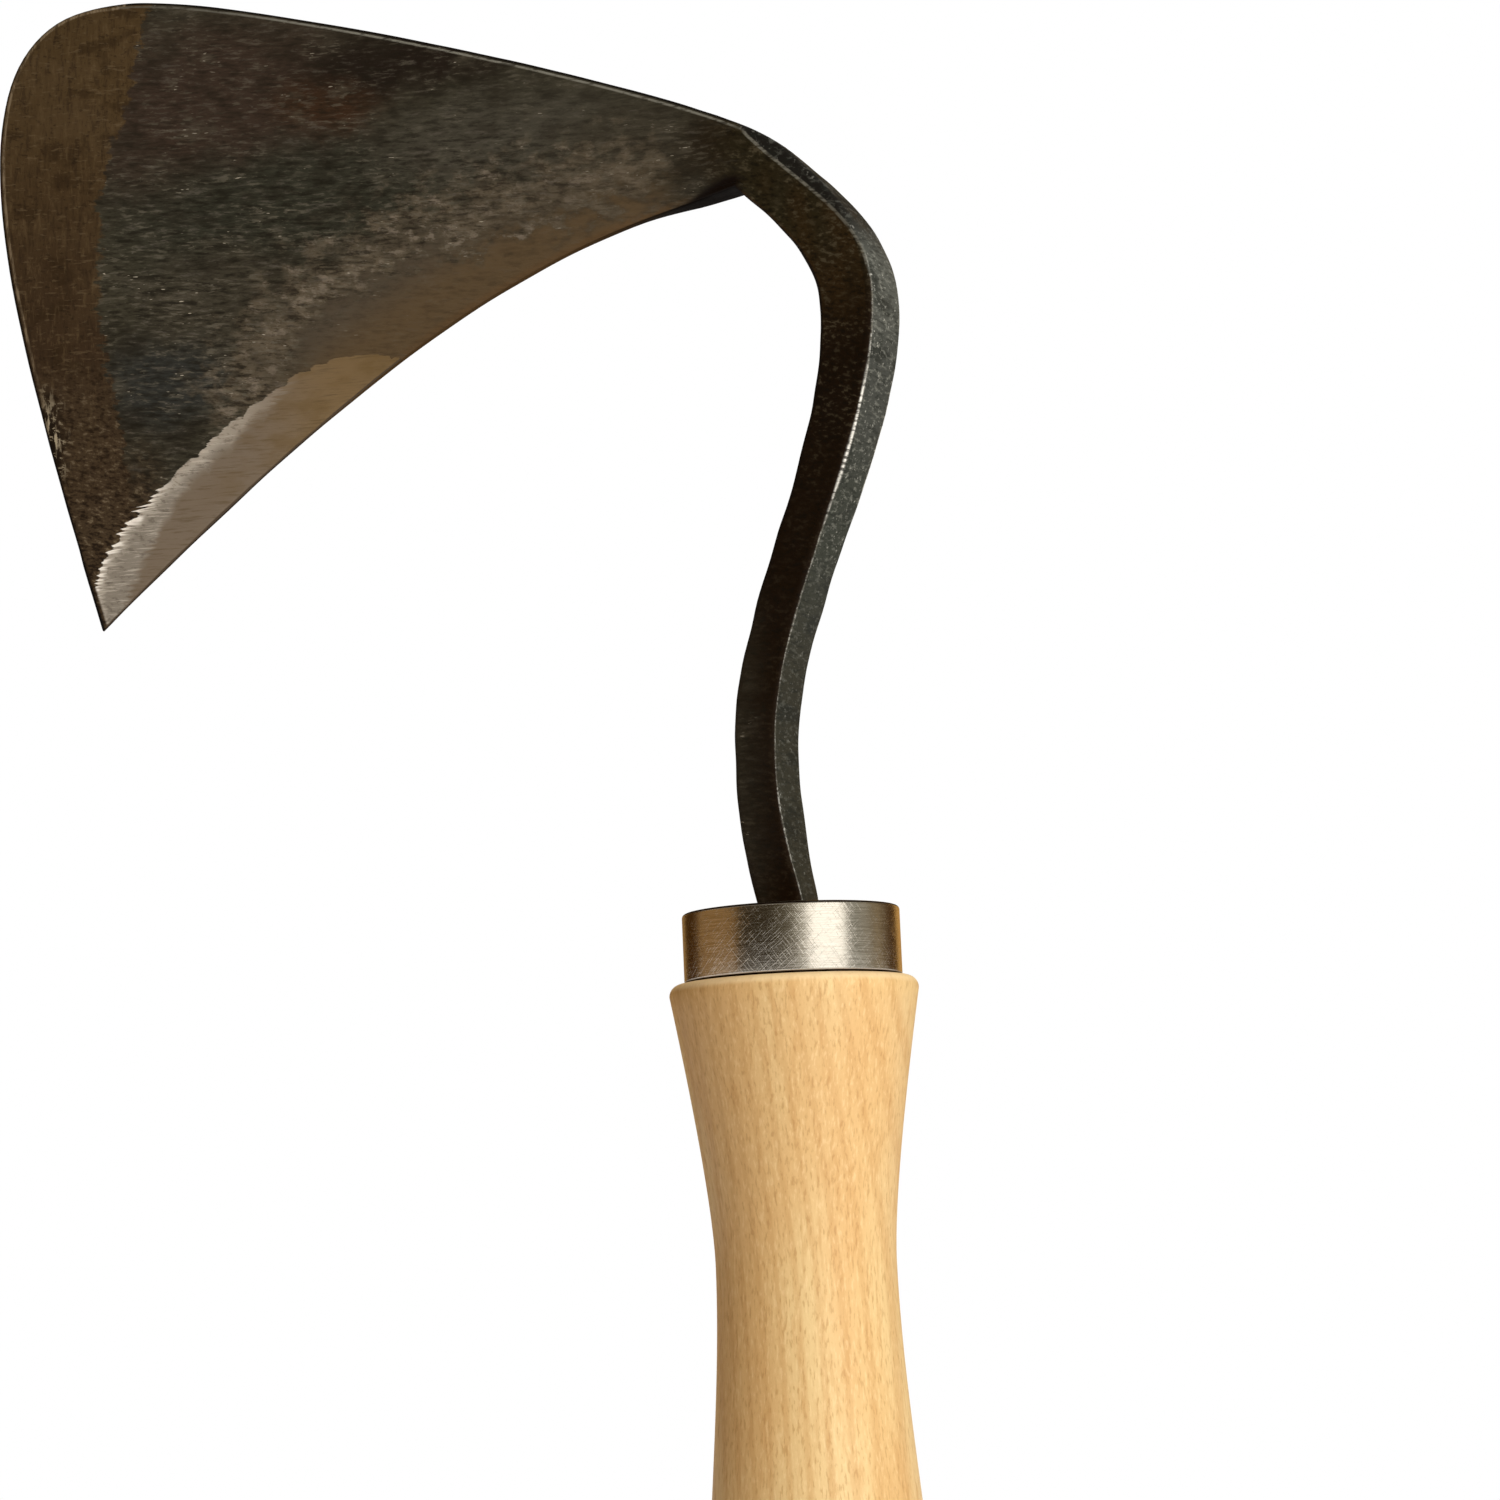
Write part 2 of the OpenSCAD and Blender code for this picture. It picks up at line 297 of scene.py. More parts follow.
# What the steel's colours depend on, as a value of each point of the mesh
FIELDS = ("convexity", "hollow_side", "underside", "leftward", "from_lower_edge", "along_lower_edge", "from_spine",
          "from_far_edge", "from_drift", "ground", "band", "past_arris")


def hammered(p, blade):
    """How far the hammer moves the skin, in millimetres. Blade goes from 0 on the neck to 1 on the blade."""
    dents = noise.noise(Vector((p.x / 9, p.y / 9, p.z / 7 + 3.1)))
    ripple = noise.noise(Vector((p.x / 3.2, p.y / 3.2, p.z / 5 + 7.7)))
    return BLADE_DENT * dents * blade + (1 - blade) * (NECK_DENT * dents + NECK_RIPPLE * ripple)


def subdivided_skin():
    """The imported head's skin in quads where it can be, rounded by subdivision."""
    bm = bmesh.new()
    bm.from_mesh(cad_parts["forged_head"].data)
    bmesh.ops.remove_doubles(bm, verts=bm.verts, dist=0.01 * MM)
    bmesh.ops.join_triangles(bm, faces=bm.faces, angle_face_threshold=math.radians(50),
                             angle_shape_threshold=math.radians(180))
    crease = bm.edges.layers.float.new("crease_edge")
    for edge in bm.edges:
        if len(edge.link_faces) == 2 and edge.calc_face_angle(0) > CRISP_ANGLE:
            edge[crease] = CRISPNESS
    point = bm.verts.layers.float.new("crease_vert")
    for vert in bm.verts:
        flat = Vector((vert.co.x / MM, vert.co.z / MM - FERRULE_TOP))
        if min((flat - CROTCH).length, (flat - TIP).length) < POINT_REACH:
            vert[point] = 1.0
            for edge in vert.link_edges:
                edge[crease] = 1.0
    rough = bpy.data.meshes.new("rough_forging")
    bm.to_mesh(rough)
    bm.free()
    blank = bpy.data.objects.new("rough_forging", rough)
    scene.collection.objects.link(blank)
    subdivision = blank.modifiers.new("rounding", "SUBSURF")
    subdivision.levels = subdivision.render_levels = 2
    return applied(blank, "head_forging")


def forged_mesh():
    """The forged head, hammered, with the fields that its colours depend on."""
    mesh = subdivided_skin()
    bm = bmesh.new()
    bm.from_mesh(mesh)
    bm.normal_update()
    low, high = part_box("forged_head")
    for vert in bm.verts:
        # The hammer's marks fade out near the ferrule, and the blade starts left of the neck
        p = vert.co / MM
        up = ease((p.z - FERRULE_TOP - 1) / 8)
        blade = ease((-p.x - 4) / 10) * up
        move = up * hammered(p, blade)
        vert.co += vert.normal * move * MM
        for axis in range(3):
            vert.co[axis] = min(high[axis], max(low[axis], vert.co[axis]))
    bm.normal_update()

    # Convexity of each point, full where the corners turn this much; the neck's painted highlights follow it
    full_turn = math.radians(24)
    convexity = []
    for vert in bm.verts:
        bends = [edge.calc_face_angle_signed(0) for edge in vert.link_edges if len(edge.link_faces) == 2]
        convexity.append(min(1.0, max([0.0, *bends]) / full_turn))
    facing = [-vert.normal.y for vert in bm.verts]
    underside = [-vert.normal.z for vert in bm.verts]
    leftward = [-vert.normal.x for vert in bm.verts]
    for face in bm.faces:
        face.smooth = True
    bm.to_mesh(mesh)
    bm.free()

    points = np.array([(v.co.x / MM, v.co.z / MM - FERRULE_TOP) for v in mesh.vertices])
    below, along = distance_to(LOWER_EDGE, points)
    spine = distance_to(SPINE, points)[0]
    far = distance_to(FAR_EDGE, points)[0]
    drift = distance_to(DRIFT, points)[0]
    whole = along.max()
    ground = [ground_width(a, whole) - d for a, d in zip(along, below)]
    band = np.interp(points[:, 1], *zip(*BAND_BORDER)) - points[:, 0]
    past_arris = outside(ARRIS, points)
    values_of_fields = (convexity, facing, underside, leftward, below, along, spine, far, drift, ground, band,
                        past_arris)
    for name, values in zip(FIELDS, values_of_fields):
        mesh.attributes.new(name, "FLOAT", "POINT").data.foreach_set("value", np.array(values, np.float32))
    return mesh


# Some clouds are painted sheen: lighter across the middle of the blade and darker along its top
# Clouds in the fire scale: colour, centre as reach and height over the ferrule, half width and half height
CLOUDS = (("#362b23", (-77, 117), (24, 15)), ("#2f2f26", (-66, 101), (28, 11)),
          ("#372619", (-60, 116), (9, 5)), ("#1f1812", (-50, 121), (17, 5.5)),
          ("#413e35", (-36, 108), (20, 7)), ("#3c382e", (-17, 104), (12, 7)),
          ("#2d2e2b", (-84, 79), (11, 7)), ("#3a362c", (-76, 90), (12, 8)),
          ("#241c11", (-1, 102), (10, 7)))


def oval(tree, place, centre, half):
    """Soft oval on the blade's face, 1 in the middle and 0 outside."""
    (reach, height), (half_w, half_h) = centre, half
    moved = add(tree, "Mapping", {"Vector": place, "Scale": (1 / half_w, 0, 1 / half_h),
                                  "Location": (-reach / half_w, 0, -(height + FERRULE_TOP) / half_h)})
    return ramp(tree, add(tree, "VectorMath", {0: moved}, out="Value", operation="LENGTH"), 1.3, 0.4)


def forging_maps(tree, place):
    """What the forging's colours depend on: its fields, places in millimetres and patterns."""
    maps = {name: add(tree, "Attribute", out="Fac", attribute_name=name) for name in FIELDS}
    reach = 4.5
    wander = spots(tree, place, (6, 6, 5), 5.2, detail=5, harshness=0.65, out=1)
    wander = add(tree, "VectorMath", {0: wander, 1: (2 * reach, 0, 2 * reach), 2: (-reach, 0, -reach)},
                 operation="MULTIPLY_ADD")
    maps["ragged_place"] = add(tree, "VectorMath", {0: place, 1: wander}, operation="ADD")
    maps["ragged"] = spots(tree, place, (3, 3, 2), 3.3, detail=5, harshness=0.65)
    maps["x"], _, z = [add(tree, "SeparateXYZ", {0: place}, out=i) for i in range(3)]
    maps["height"] = total(tree, z, -FERRULE_TOP)
    maps["hollow"] = ramp(tree, maps["hollow_side"], 0.3, 0.5)
    maps["clouds"] = spots(tree, place, (16, 16, 10), 1.3, detail=4)
    maps["blotches"] = spots(tree, place, (6, 6, 3.4), 4.1, detail=4)
    tilt = (0, 0.09, 0)
    maps["streaks"] = spots(tree, place, (3.4, 3.4, 0.7), 2.2, detail=5, harshness=0.7, turn=tilt)
    maps["fine"] = spots(tree, place, (1.9, 1.9, 0.42), 8.4, detail=4, harshness=0.6, turn=tilt)
    maps["dashes"] = spots(tree, place, (1.2, 1.2, 0.2), 9.9, detail=1, harshness=0.4, turn=tilt)
    maps["upright"] = spots(tree, place, (0.8, 0.8, 3.6), 6.5, detail=5, harshness=0.75)
    maps["pits"] = spots(tree, place, (0.6, 0.6, 0.6), 3.7, detail=4, harshness=0.7)
    maps["crackle"] = spots(tree, place, (2.8, 2.8, 1.3), 7.4, detail=5, harshness=0.66, turn=(0, 0.3, 0))
    maps["flakes"] = spots(tree, place, (1.1, 1.1, 0.55), 13.4, detail=4, harshness=0.65, turn=(0, 0.25, 0))
    maps["lines"] = spots(tree, place, (4, 4, 0.26), 11.3, detail=4, harshness=0.65)
    maps["swell"] = spots(tree, place, (14, 14, 2.4), 6.1, detail=0)
    return maps


def scaled_face(tree, maps):
    """Fire scale on the blade, with the streaks of the hammer, a flaky drift and warm brown below it."""
    x, below = maps["x"], maps["from_lower_edge"]
    colour = paint(tree, "#2e2b22", "#3a372c", ramp(tree, maps["clouds"], 0.38, 0.62))
    for tone, centre, half in CLOUDS:
        colour = paint(tree, colour, tone, oval(tree, maps["ragged_place"], centre, half))
    colour = paint(tree, colour, "#211c15", ramp(tree, maps["blotches"], 0.48, 0.34, 0.0, 0.45))
    colour = paint(tree, colour, "#4b463b", ramp(tree, maps["blotches"], 0.54, 0.7, 0.0, 0.45))
    # Smooth brown along the lower edge, as wide as 15 mm beside the bevel: partly oxide, partly a painted
    # warm reflection
    edge_of_brown = total(tree, ramp(tree, x, -14, -66, 4, 14), ramp(tree, maps["ragged"], 0.3, 0.7, -3, 3))
    brown = ramp(tree, minus(tree, edge_of_brown, below), -3.0, 4.5)
    brown = both(tree, brown, ramp(tree, x, -8, -18), ramp(tree, x, -78, -60))
    warm = paint(tree, "#4d4438", "#564733", ramp(tree, below, 11, 4))
    colour = paint(tree, colour, warm, brown)
    # A painted warm highlight along the lower edge
    warm_edge_glint = both(tree, ramp(tree, below, 1.2, 0.3), ramp(tree, x, -6, -14), ramp(tree, x, -60, -44))
    colour = paint(tree, colour, "#5a442b", both(tree, warm_edge_glint, 0.6))
    # Flaky drift
    drift = total(tree, maps["from_drift"], ramp(tree, maps["ragged"], 0.3, 0.7, -4, 4),
                  ramp(tree, x, -62, -36, 0, 0.8))
    drift = ramp(tree, drift, 10, 3)
    drift = both(tree, drift, ramp(tree, brown, 0.8, 0.2))
    dusty = both(tree, drift, ramp(tree, maps["blotches"], 0.28, 0.6, 0.45, 1.0))
    colour = paint(tree, colour, "#5a5143", dusty)
    flaky = both(tree, drift, ramp(tree, x, -14, -32, 0.25, 1.0),
                 ramp(tree, maps["clouds"], 0.4, 0.56, 0.5, 1.0))
    lifted = both(tree, flaky, ramp(tree, maps["crackle"], 0.52, 0.63, 0.0, 0.8))
    colour = paint(tree, colour, "#7a7063", lifted)
    cracks = both(tree, flaky, ramp(tree, maps["crackle"], 0.48, 0.39, 0.0, 0.75))
    colour = paint(tree, colour, "#2a231b", cracks)
    # Streaks in clusters, calmer on the brown oxide and at the top
    calm = both(tree, ramp(tree, brown, 0.0, 1.0, 1.0, 0.3), ramp(tree, x, -46, -22, 1.0, 0.6),
                ramp(tree, maps["height"], 102, 116, 1.0, 0.65))
    dark = both(tree, ramp(tree, maps["streaks"], 0.52, 0.36, 0.0, 0.8), calm)
    colour = paint(tree, colour, "#1a1710", dark)
    grey = both(tree, ramp(tree, maps["streaks"], 0.55, 0.68, 0.0, 0.6), calm)
    colour = paint(tree, colour, "#57524a", grey)
    pale = both(tree, ramp(tree, maps["fine"], 0.53, 0.64, 0.0, 0.55), calm,
                ramp(tree, maps["blotches"], 0.42, 0.58, 0.25, 1.0))
    colour = paint(tree, colour, "#635e52", pale)
    colour = paint(tree, colour, "#14110b", both(tree, ramp(tree, maps["fine"], 0.46, 0.35, 0.0, 0.5), calm))
    # A few bright dashes where scale has come off
    bare = both(tree, ramp(tree, maps["dashes"], 0.72, 0.77), ramp(tree, maps["blotches"], 0.52, 0.62), calm)
    return paint(tree, colour, "#b3ab9b", bare)


def neck_faces(tree, maps, colour):
    """Root, bend and neck: nearly black in front, a painted grey sheen on the side, and painted shade in the
    crotch.
    """
    x, height = maps["x"], maps["height"]
    # Past the painted arris line, the front is painted with the side's sheen
    bend = both(tree, ramp(tree, height, 79, 83), ramp(tree, x, -3, 0))
    past = both(tree, ramp(tree, maps["past_arris"], -0.15, 0.2), bend)
    facing = both(tree, maps["hollow_side"], ramp(tree, past, 0.0, 1.0, 1.0, 0.3))
    front = ramp(tree, facing, 0.35, 0.8)
    neck = ramp(tree, x, -9, 1)
    # The front is dark scale, darkened further by painted shade, a little lighter toward the bend
    dark = paint(tree, "#160b02", "#231e10", ramp(tree, height, 74, 90))
    # A painted warm reflection where the front turns to the left, up toward the bend
    warm = both(tree, ramp(tree, maps["leftward"], 0.0, 0.3), ramp(tree, height, 70, 84))
    dark = paint(tree, dark, "#33240f", warm)
    grain = both(tree, ramp(tree, maps["flakes"], 0.52, 0.64),
                 ramp(tree, maps["blotches"], 0.4, 0.56, 0.3, 1.0), ramp(tree, height, 45, 80, 0.15, 0.8))
    dark = paint(tree, dark, "#474031", grain)
    dark = paint(tree, dark, "#0b0702", ramp(tree, maps["flakes"], 0.48, 0.36, 0.0, 0.7))
    dark = paint(tree, dark, "#0d0602", ramp(tree, maps["leftward"], 0.25, 0.6))
    colour = paint(tree, colour, dark, both(tree, neck, front))
    # The side's grey is a painted sheen, lighter up the neck, with painted glints where it is lit and painted
    # shade on the bend's top
    side = paint(tree, "#2e2d25", "#353832", ramp(tree, height, 28, 50))
    side = paint(tree, side, "#3f413d", ramp(tree, height, 52, 64))
    side = paint(tree, side, "#4e504b", ramp(tree, height, 70, 78))
    side = paint(tree, side, "#1a1815", ramp(tree, height, 82, 91))
    side = paint(tree, side, "#1d1f1b", ramp(tree, maps["blotches"], 0.5, 0.36, 0.0, 0.65))
    side = paint(tree, side, "#1d1f1b", ramp(tree, maps["fine"], 0.5, 0.36, 0.0, 0.6))
    lit = both(tree, ramp(tree, height, 82, 90, 1.0, 0.4), ramp(tree, height, 36, 58, 0.35, 1.0))
    side = paint(tree, side, "#73756e", both(tree, ramp(tree, maps["flakes"], 0.52, 0.64, 0.0, 0.6), lit))
    side = paint(tree, side, "#b4b5ad", both(tree, ramp(tree, maps["pits"], 0.6, 0.7, 0.0, 0.7), lit))
    colour = paint(tree, colour, side, both(tree, ramp(tree, x, -10, -4), ramp(tree, facing, 0.75, 0.45)))
    # A painted highlight along the bend's arris line
    arris = both(tree, ramp(tree, maps["past_arris"], -0.3, -0.1),
                 ramp(tree, maps["past_arris"], 0.3, 0.1), bend,
                 ramp(tree, maps["fine"], 0.4, 0.56, 0.2, 0.9), ramp(tree, height, 88, 98, 0.6, 1.0))
    colour = paint(tree, colour, "#74736a", arris)
    # Painted shade in the crotch, on the root's underside that faces down
    crotch_shade_width = ramp(tree, x, -13, -3, 0.0, 1.9)
    crotch_shade = ramp(tree, minus(tree, crotch_shade_width, maps["from_lower_edge"]), -0.4, 0.7)
    crotch_shade = both(tree, crotch_shade, ramp(tree, x, -0.8, -2.6))
    return paint(tree, colour, "#0d0502", crotch_shade)


def hammered_band(tree, maps, colour):
    """Browner band along the far edge, streaked upright, with flakier scale at its foot and one chip."""
    x, height = maps["x"], maps["height"]
    border = total(tree, maps["band"], ramp(tree, maps["ragged"], 0.3, 0.7, -0.9, 0.9),
                   ramp(tree, maps["fine"], 0.3, 0.7, -0.4, 0.4))
    band = both(tree, ramp(tree, border, -0.3, 0.3), maps["hollow"], ramp(tree, x, -78, -82))
    # The band's brown is partly a painted warm reflection
    brown = paint(tree, "#37291b", "#463722", ramp(tree, height, 80, 128))
    brown = paint(tree, brown, "#4b3c28", ramp(tree, maps["clouds"], 0.45, 0.65, 0.0, 0.6))
    brown = paint(tree, brown, "#2c2012", ramp(tree, maps["blotches"], 0.48, 0.34, 0.0, 0.6))
    brown = paint(tree, brown, "#231910", ramp(tree, maps["upright"], 0.5, 0.36, 0.0, 0.5))
    brown = paint(tree, brown, "#5b4b35", ramp(tree, maps["upright"], 0.53, 0.66, 0.0, 0.45))
    brown = paint(tree, brown, "#61523d", ramp(tree, maps["fine"], 0.56, 0.68, 0.0, 0.5))
    brown = paint(tree, brown, "#1a120a", ramp(tree, maps["flakes"], 0.44, 0.34, 0.0, 0.5))
    colour = paint(tree, colour, brown, band)
    foot = both(tree, ramp(tree, height, 74, 60), ramp(tree, x, -84, -89), maps["hollow"])
    foot = either(tree, foot, both(tree, ramp(tree, height, 86, 74, 0.0, 0.75), band))
    flaky = paint(tree, "#1d140c", "#3f3325", ramp(tree, maps["flakes"], 0.38, 0.52))
    flaky = paint(tree, flaky, "#6a5d4a", ramp(tree, maps["flakes"], 0.55, 0.67))
    colour = paint(tree, colour, flaky, both(tree, foot, 0.9))
    chip = oval(tree, maps["ragged_place"], (-102, 71.5), (2.6, 6.5))
    colour = paint(tree, colour, "#1a120a", chip)
    cracks = either(tree, ramp(tree, maps["upright"], 0.53, 0.59), ramp(tree, maps["flakes"], 0.56, 0.62))
    return paint(tree, colour, "#a2967f", both(tree, chip, cracks))


def ground_bevel(tree, maps):
    """Ground steel along the lower edge and where it shows: scalloped, toothed and bright toward the tip."""
    x, height = maps["x"], maps["height"]
    near_tip = ramp(tree, x, -84, -89)
    scallop, tooth = 5.0, 0.9
    turns = total(tree, both(tree, maps["along_lower_edge"], math.pi / scallop),
                  ramp(tree, maps["clouds"], 0.3, 0.7, 0, 5))
    wave = add(tree, "Math", {0: add(tree, "Math", {0: turns}, operation="SINE")}, operation="ABSOLUTE")
    scallops = both(tree, wave, ramp(tree, x, -56, -66, 0.0, 0.6))
    saw = total(tree, height, ramp(tree, maps["swell"], 0.2, 0.8, -0.8, 0.8))
    saw = add(tree, "Math", {0: saw, 1: tooth / 2}, operation="PINGPONG")
    saw = add(tree, "Math", {0: both(tree, saw, 2 / tooth), 1: 1.8}, operation="POWER")
    teeth = both(tree, saw, near_tip, ramp(tree, maps["swell"], 0.6, 0.4, 0.5, 1.1))
    border = total(tree, maps["ground"], scallops, teeth, both(tree, near_tip, -0.3),
                   ramp(tree, maps["lines"], 0.3, 0.7, -0.16, 0.16))
    shown = both(tree, ramp(tree, border, -0.08, 0.08), maps["hollow"],
                 ramp(tree, maps["from_far_edge"], 0.6, 1.0))
    steel = paint(tree, "#7f6a4c", "#7d7061", ramp(tree, x, -60, -76))
    steel = paint(tree, steel, "#62543f", ramp(tree, maps["lines"], 0.5, 0.34, 0.0, 0.6))
    rusty = both(tree, ramp(tree, maps["blotches"], 0.42, 0.64, 0.0, 0.45), ramp(tree, x, -86, -70))
    steel = paint(tree, steel, "#6a5532", rusty)
    # Paler facet along the upper border, wider toward the tip
    ragged_x = total(tree, x, ramp(tree, maps["lines"], 0.3, 0.7, -2.5, 2.5))
    facet_w = total(tree, ramp(tree, ragged_x, -62, -78, 0.0, 2.5), ramp(tree, x, -82, -92, 0.0, 3.2))
    facet = ramp(tree, minus(tree, facet_w, border), -0.7, 0.9)
    facet = both(tree, facet, ramp(tree, facet_w, 0.2, 1.6))
    facet = either(tree, facet, ramp(tree, height, 49.5, 47.5))
    pale = paint(tree, "#8f887d", "#b0a89c", ramp(tree, border, 2.0, 0.8))
    pale = paint(tree, pale, "#6e665c", ramp(tree, maps["flakes"], 0.5, 0.36, 0.0, 0.7))
    pale = paint(tree, pale, "#cfc7bb", ramp(tree, maps["lines"], 0.52, 0.64, 0.0, 0.6))
    pale = paint(tree, pale, "#8a7e6e", ramp(tree, x, -82, -66))
    steel = paint(tree, steel, pale, facet)
    glint = both(tree, near_tip, ramp(tree, border, 1.3, 0.4), ramp(tree, saw, 0.1, 0.4))
    steel = paint(tree, steel, "#fffaf2", glint)
    steel = paint(tree, steel, "#4c4134", ramp(tree, maps["from_lower_edge"], 0.35, 0.12))
    return steel, shown


def edge_light_and_shade(tree, maps, colour):
    """Painted highlights in thin lines along the spine and the neck's outer corner; the edges outside them
    are dark.
    """
    x, height, spine = maps["x"], maps["height"], maps["from_spine"]
    edge = either(tree, ramp(tree, spine, 0.5, 0.3), ramp(tree, maps["from_far_edge"], 0.5, 0.25))
    colour = paint(tree, colour, "#0e0b07", both(tree, edge, ramp(tree, x, -1, -4)))
    # A painted highlight along the spine
    line = both(tree, ramp(tree, spine, 0.95, 0.75), ramp(tree, spine, 0.5, 0.62), maps["hollow"],
                ramp(tree, x, -86, -60, 0.35, 1.0), ramp(tree, x, 0, -4),
                ramp(tree, maps["fine"], 0.36, 0.5, 0.2, 0.9))
    # A painted highlight just inside the far edge
    rim = both(tree, ramp(tree, maps["from_far_edge"], 1.1, 0.85),
               ramp(tree, maps["from_far_edge"], 0.5, 0.65), ramp(tree, height, 72, 90), maps["hollow"],
               ramp(tree, maps["upright"], 0.42, 0.6, 0.15, 0.8))
    colour = paint(tree, colour, "#857660", rim)
    # A painted highlight and glints on the neck's outer corner
    corner = both(tree, ramp(tree, maps["convexity"], 0.5, 0.95), ramp(tree, maps["leftward"], 0.1, -0.2),
                  ramp(tree, height, 86, 80), ramp(tree, maps["from_lower_edge"], 3, 5))
    shine = both(tree, corner, ramp(tree, maps["fine"], 0.38, 0.54, 0.3, 0.85))
    colour = paint(tree, colour, "#7b7a71", either(tree, line, shine))
    # Brighter painted glints on the neck's corner, low on the neck
    bright = both(tree, ramp(tree, height, 48, 57), ramp(tree, height, 70, 64), ramp(tree, x, -8, 0))
    wide = both(tree, ramp(tree, maps["convexity"], 0.35, 0.7), ramp(tree, maps["leftward"], 0.1, -0.2), bright,
                ramp(tree, maps["fine"], 0.4, 0.52, 0.1, 0.75))
    fleck = total(tree, both(tree, corner, ramp(tree, maps["pits"], 0.5, 0.58), 0.5), wide)
    colour = paint(tree, colour, "#f0f0ea", fleck)
    # Undersides: painted shade, darkest near the crotch, and a painted warm reflection further along the
    # lower edge
    below = both(tree, ramp(tree, maps["underside"], 0.45, 0.75), ramp(tree, x, -104, -98))
    shade = paint(tree, "#46351f", "#070301", ramp(tree, x, -30, -10))
    shade = paint(tree, shade, "#2a2018", ramp(tree, x, -60, -70))
    return paint(tree, colour, shade, below)


# Forged steel with fire scale: nearly black, faintly green and brown, satin, streaked by the hammer and
# flecked where the scale has come off. The bevel is ground bright and its upper border is ragged.
def forge_scale():
    material, tree, place = new_material("forged_steel_with_fire_scale")
    maps = forging_maps(tree, place)
    colour = scaled_face(tree, maps)
    colour = neck_faces(tree, maps, colour)
    colour = hammered_band(tree, maps, colour)
    steel, ground = ground_bevel(tree, maps)
    colour = edge_light_and_shade(tree, maps, paint(tree, colour, steel, ground))
    roughness = add(tree, "Mix", {0: ground, 2: ramp(tree, maps["blotches"], 0.3, 0.7, 0.5, 0.64), 3: 0.42},
                    data_type="FLOAT")
    roughness = total(tree, roughness, ramp(tree, maps["underside"], 0.45, 0.75, 0.0, 0.4))
    relief = add(tree, "Mix", {0: ground, 2: total(tree, maps["streaks"], maps["fine"], maps["pits"]),
                               3: maps["lines"]}, data_type="FLOAT")
    bump = add(tree, "Bump", {"Height": relief, "Strength": 0.5, "Distance": 0.1 * MM})
    metallic = add(tree, "Mix", {0: ground, 2: 0.0, 3: 0.25}, data_type="FLOAT")
    finish_material(tree, add(tree, "BsdfPrincipled", {
        "Base Color": colour, "Metallic": metallic, "Roughness": roughness, "Normal": bump,
        "Specular IOR Level": 0.12}))
    return material


# Brushed stainless steel tube: bright and cool, with fine lines round the band and short crossed
# scratches that break the highlight's borders into a sparkle. Painted shade darkens its foot, and a
# painted dark reflection its top rim.
def brushed_stainless():
    material, tree, place = new_material("brushed_stainless_steel")
    x, y, z = [add(tree, "SeparateXYZ", {0: place}, out=i) for i in range(3)]
    turn = add(tree, "Math", {0: x, 1: both(tree, y, -1)}, operation="ARCTAN2")
    unrolled = add(tree, "CombineXYZ", {0: both(tree, turn, FERRULE_R), 1: z, 2: 0.0})
    rounds = spots(tree, unrolled, (4, 0.14, 1), 1.9, detail=3, harshness=0.6)
    rising = spots(tree, unrolled, (2.4, 0.17, 1), 5.1, detail=1, harshness=0.5, turn=(0, 0, 0.7))
    falling = spots(tree, unrolled, (2.0, 0.17, 1), 7.7, detail=1, harshness=0.5, turn=(0, 0, -0.95))
    colour = paint(tree, "#c2baad", "#d6cfc3", ramp(tree, rounds, 0.35, 0.65))
    # A painted dark reflection along the top rim, and painted shade at the foot
    rim = both(tree, ramp(tree, z, FERRULE_TOP - 0.34, FERRULE_TOP - 0.22),
               ramp(tree, z, FERRULE_TOP - 0.02, FERRULE_TOP - 0.07))
    painted_dark_rims = either(tree, ramp(tree, z, SHOULDER_Z + 0.38, SHOULDER_Z + 0.2), rim)
    colour = paint(tree, colour, "#2a1c10", painted_dark_rims)
    roughness = total(tree, ramp(tree, rounds, 0.3, 0.7, 0.19, 0.26), both(tree, painted_dark_rims, 0.4))
    scratches = total(tree, ramp(tree, rising, 0.56, 0.7), ramp(tree, falling, 0.56, 0.7))
    height = total(tree, both(tree, rounds, 0.25), scratches)
    bump = add(tree, "Bump", {"Height": height, "Strength": 0.35, "Distance": 0.02 * MM})
    finish_material(tree, add(tree, "BsdfPrincipled", {
        "Base Color": colour, "Metallic": 1.0, "Roughness": roughness, "Normal": bump}))
    return material


def ferrule_mesh():
    """Rolled band with rounded outer rims and broken inner ones."""
    bore = FERRULE_R - FERRULE_WALL
    wall = FERRULE_R - FERRULE_RIM
    profile = [(bore, SHOULDER_Z + FERRULE_BREAK), (bore + FERRULE_BREAK, SHOULDER_Z)]
    profile += arc(wall, SHOULDER_Z + FERRULE_RIM, FERRULE_RIM, -90, 0, 6)
    profile += arc(wall, FERRULE_TOP - FERRULE_RIM, FERRULE_RIM, 0, 90, 6)
    profile += [(bore + FERRULE_BREAK, FERRULE_TOP), (bore, FERRULE_TOP - FERRULE_BREAK),
                (bore, SHOULDER_Z + FERRULE_BREAK)]
    return smooth_mesh(spun(profile, 160), "ferrule_band")


